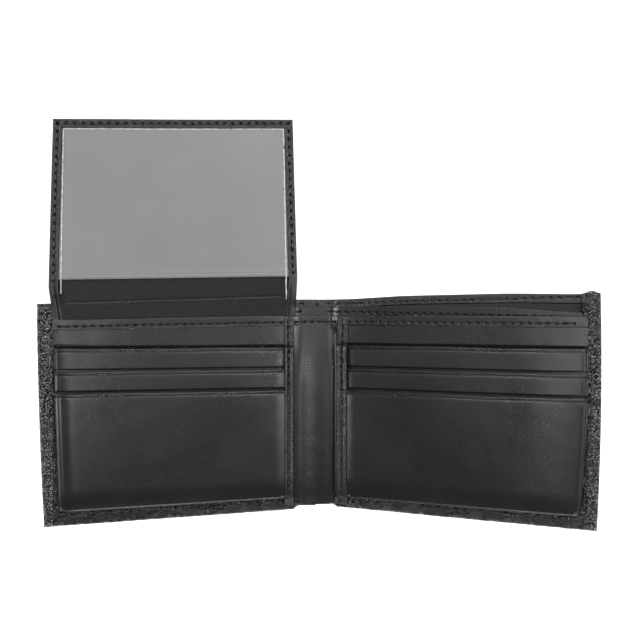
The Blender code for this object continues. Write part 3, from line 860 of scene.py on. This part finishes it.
def flap():
    seed = 9.0
    go = lambda a, b, c: place("left", a, b, c)
    build = Build()
    sheet(build, "left",
          lines(2.5, 102.6, 0.40, [(6.45, 0.5, 0.1), (98.65, 0.5, 0.1), (4.4, 0.9, 0.17), (100.7, 0.9, 0.17)], (True, True), 0.7),
          lines(0.0, 87.8, 0.38, [(87.8 - 3.95, 0.5, 0.1), (87.8 - 1.9, 0.9, 0.17)], (True, True), 0.7),
          f_low, f_top, f_out, frame_top, lambda s, y: 2.8 + sag(s, y), (0.8, 0.8, 0.2, 0.8), inner=f_in)
    made = build.finish("flap_frame_leather", M_FRAME)
    flap_blend(made)
    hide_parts("flap_leather", "flap_hinge_strip")

    build = Build()
    sheet(build, "left", lines(7.0, 98.7, 0.5), lines(0.0, 82.4, 0.8, [(13.0, 6.5, 0.25)]),
          f_low, lambda s: f_top(s) - 3.5, lambda y: f_out(y) - 3.6,
          lambda s, y: 3.72 + sag(s, y) + buckle(s, y) * (1 - smooth((y - 94) / 4)),
          lambda s, y: 3.50 + sag(s, y) + buckle(s, y) * (1 - smooth((y - 94) / 4)),
          (0.1, 0.1, 0.1, 0.1), inner=lambda y: f_in(y) + 3.6)
    made = build.finish("flap_twill_cloth", M_TWILL)
    flap_blend(made)
    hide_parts("flap_lining", "flap_anchor_tab")

    # window: an even grey sheet, open along its foot
    foot = lambda s: 98.0 - 2.0 * (s - 8.6) / 89.6

    def pane(s, y):
        d = y - foot(s)
        lip = 0.30 * gauss(d - 0.7, 0.55) + 0.12 * gauss(d - 2.2, 0.8)
        return 4.25 + sag(s, y) + 0.10 * wobble2(s, y, 4.0, 60.0) + lip

    build = Build()
    sheet(build, "left", lines(6.6, 99.0, 0.9), lines(0.0, 62.8, 0.9, [(1.2, 1.2, 0.15)]),
          foot, lambda s: f_top(s) - 3.0, lambda y: f_out(y) - 3.0,
          pane, lambda s, y: pane(s, y) - 0.25, (0.1, 0.1, 0.2, 0.1), inner=lambda y: f_in(y) + 3.0)
    made = build.finish("flap_window_vinyl", M_VINYL)
    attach(made, "flap")
    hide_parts("flap_window")

    # pale raw edge round the window
    build = Build()
    corners = [(float(f_out(88.0)) - 4.1, 90.5), (float(f_out(158.0)) - 4.1, float(f_top(96.0)) - 4.1),
               (float(f_in(158.0)) + 4.1, float(f_top(9.0)) - 4.1), (float(f_in(86.0)) + 4.1, 88.5)]
    for p, q in zip(corners[:-1], corners[1:]):
        n = int(math.dist(p, q) / 0.5)
        f = np.linspace(0, 1, n)
        x = p[0] + (q[0] - p[0]) * f
        y = p[1] + (q[1] - p[1]) * f
        way = np.array([q[0] - p[0], q[1] - p[1]])
        way /= np.linalg.norm(way)
        ang = np.linspace(0, 2 * np.pi, 9)[:-1]
        rad = 0.25 + 0.07 * wobble(np.arange(n), 3.0 + p[0], 9.0)
        off = 0.07 * wobble(np.arange(n), p[0] + 8.0, 14.0)
        aa = (x - way[1] * off)[:, None] - way[1] * rad[:, None] * np.cos(ang)
        bb = (y + way[0] * off)[:, None] + way[0] * rad[:, None] * np.cos(ang)
        base = np.where(y > 96.5, 4.30, 3.95)
        tt = (base + sag(x, y))[:, None] + 0.32 * np.sin(ang)
        idx = build.add(go(aa, bb, tt), np.stack([0 * aa + np.arange(n)[:, None] * 0.5, bb], -1))
        build.quads(idx, close=True)
        for row, flip in ((idx[0], False), (idx[-1], True)):
            faces = np.array([[row[0], row[1], row[2], row[3]], [row[0], row[3], row[4], row[7]],
                              [row[4], row[5], row[6], row[7]]])
            build.faces.append(faces if flip else faces[:, ::-1])
    made = build.finish("flap_window_raw_edge", M_RAW)
    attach(made, "flap")
    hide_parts("flap_window_edging")

    build = Build()
    stitch_row(build, go, FLAP_SEAM, lambda x, y: 4.92 + sag(x, y), seed=seed)
    made = build.finish("flap_stitches", M_THREAD_PALE, 80.0)
    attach(made, "flap")
    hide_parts("flap_stitching")


flap()

# ---------------------------------------------------------------------------
# floor, light and camera
# ---------------------------------------------------------------------------
scene = bpy.context.scene


def plain(name, value):
    mat = bpy.data.materials.new(name)
    mat.use_nodes = True
    bsdf = mat.node_tree.nodes["Principled BSDF"]
    bsdf.inputs["Base Color"].default_value = (value, value, value, 1)
    bsdf.inputs["Roughness"].default_value = 0.9
    bsdf.inputs["Specular IOR Level"].default_value = 0.1
    return mat


mesh = bpy.data.meshes.new("floor")
size = 1.6
mesh.from_pydata([(-size, -size, -0.0006), (size, -size, -0.0006), (size, size, -0.0006), (-size, size, -0.0006)], [], [(0, 1, 2, 3)])
paper = plain("floor_white", 0.93)
paper.node_tree.nodes["Principled BSDF"].inputs["Emission Color"].default_value = (1, 1, 1, 1)
paper.node_tree.nodes["Principled BSDF"].inputs["Emission Strength"].default_value = 0.62
mesh.materials.append(paper)
floor = bpy.data.objects.new("floor", mesh)
scene.collection.objects.link(floor)
floor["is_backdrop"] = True

world = bpy.data.worlds.new("studio")
world.use_nodes = True
back = world.node_tree.nodes["Background"]
back.inputs["Color"].default_value = (1, 1, 1, 1)
back.inputs["Strength"].default_value = 0.12
scene.world = world


def softbox(name, at, aim, size_x, size_y, radiance):
    data = bpy.data.lights.new(name, "AREA")
    data.shape = "RECTANGLE"
    data.size, data.size_y = size_x, size_y
    data.energy = radiance * math.pi * size_x * size_y
    made = bpy.data.objects.new(name, data)
    made.location = at
    way = np.array(aim, float) - np.array(at, float)
    back_axis = -way / np.linalg.norm(way)
    up_axis = np.array([0.0, 1.0, 0.0]) - back_axis[1] * back_axis
    up_axis /= np.linalg.norm(up_axis)
    side_axis = np.cross(up_axis, back_axis)
    turn = Matrix([[side_axis[i], up_axis[i], back_axis[i]] for i in range(3)])
    made.rotation_euler = turn.to_euler()
    scene.collection.objects.link(made)
    made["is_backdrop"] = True
    return made


softbox("overhead", (0.42, 0.74, 1.10), (0.42, 0.74, 0.0), 2.0, 1.8, 0.64)
softbox("hot", (-0.18, -0.02, 1.08), (0, 0, 0), 0.025, 0.42, 34.0)
softbox("left_strip", (-1.00, 0.05, 0.66), (0, 0, 0), 0.06, 0.50, 60.0)
softbox("right_strip", (0.80, 0.02, 0.88), (0, 0, 0), 0.06, 0.60, 48.0)
softbox("back_strip", (0.0, 1.05, 0.80), (0, 0, 0), 0.9, 0.035, 50.0)
softbox("front_strip", (0.0, -1.15, 0.62), (0, 0, 0), 0.9, 0.03, 50.0)
softbox("spark_left", (-0.32, 0.44, 1.00), (0, 0, 0), 0.05, 0.10, 90.0)
softbox("spark_right", (0.30, 0.42, 1.00), (0, 0, 0), 0.05, 0.10, 90.0)
softbox("spark_side", (0.50, -0.04, 0.98), (0, 0, 0), 0.04, 0.14, 60.0)

data = bpy.data.cameras.new("camera")
data.sensor_width = 36.0
data.lens = 41.57
data.clip_start = 0.01
data.dof.use_dof = False
camera = bpy.data.objects.new("camera", data)
camera.location = ((CX + 1.953) / 1000.0, (CY + 83.636) / 1000.0, 0.31587)
camera.rotation_euler = (-0.012478, 0.0, 0.0)
scene.collection.objects.link(camera)
scene.camera = camera
scene.view_settings.view_transform = "Standard"
scene.view_settings.look = "None"

for name in ("Cube", "Light", "Camera"):
    extra = bpy.data.objects.get(name)
    if extra is not None:
        bpy.data.objects.remove(extra, do_unlink=True)

VISUAL_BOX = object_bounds()


def plain_lists(value):
    if isinstance(value, dict):
        return {k: plain_lists(v) for k, v in value.items()}
    if isinstance(value, (str, int, float, bool)) or value is None:
        return value
    return [plain_lists(v) for v in value]


{"cad": plain_lists(CAD_BOX), "visual": plain_lists(VISUAL_BOX)}
